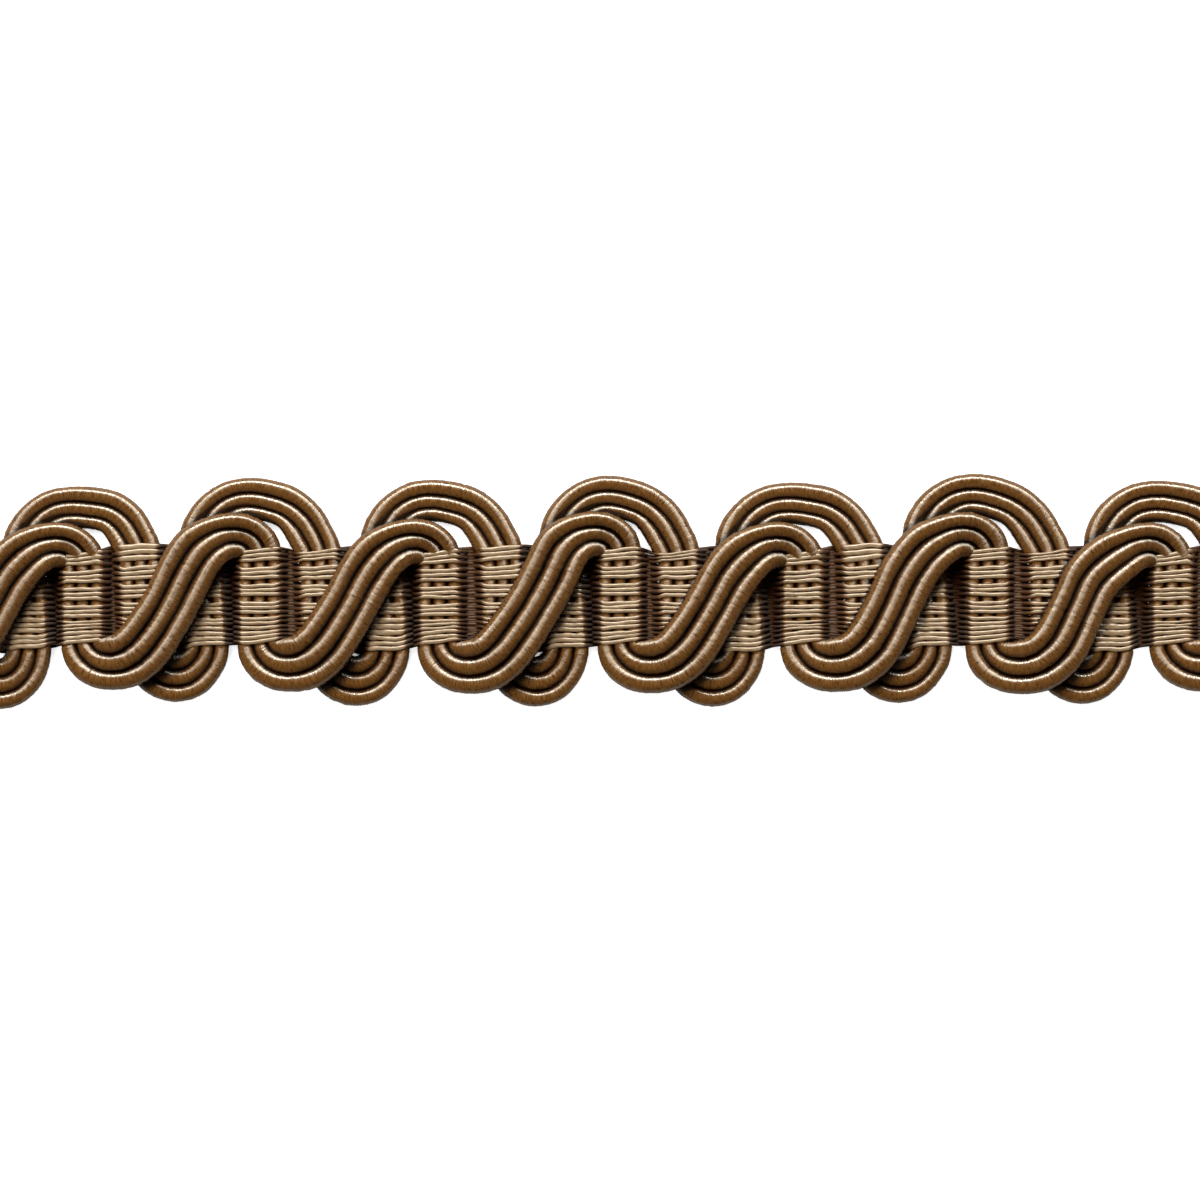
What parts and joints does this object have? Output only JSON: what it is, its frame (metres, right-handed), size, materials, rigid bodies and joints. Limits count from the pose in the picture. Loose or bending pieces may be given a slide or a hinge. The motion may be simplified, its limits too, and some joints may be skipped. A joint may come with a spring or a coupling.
{
  "type": "gimp braid trim",
  "caption": "Flat length of gimp braid: two bundles of wound cords scroll through a narrow woven band, to be sewn or glued along an edge.",
  "frame": {"origin": "centre of the cut length on the surface that the back of the trim lies on", "axes": "+X along the trim, +Y towards the edge with the large loops, +Z out of the face"},
  "size_m": [0.0896, 0.0161, 0.0027],
  "materials": {
    "cord": "silky golden-brown yarn wound closely round a core, with fine ridges across the cord",
    "warp": "silky champagne thread, smooth and lightly twisted"
  },
  "bodies": {
    "root": {"front_cord_1": "cord", "front_cord_2": "cord", "front_cord_3": "cord", "back_cord_1": "cord", "back_cord_2": "cord", "back_cord_3": "cord", "warp_dent_1": "warp", "warp_dent_2": "warp", "warp_dent_3": "warp", "warp_dent_4": "warp", "warp_dent_5": "warp", "warp_dent_6": "warp"}
  },
  "joints": []
}
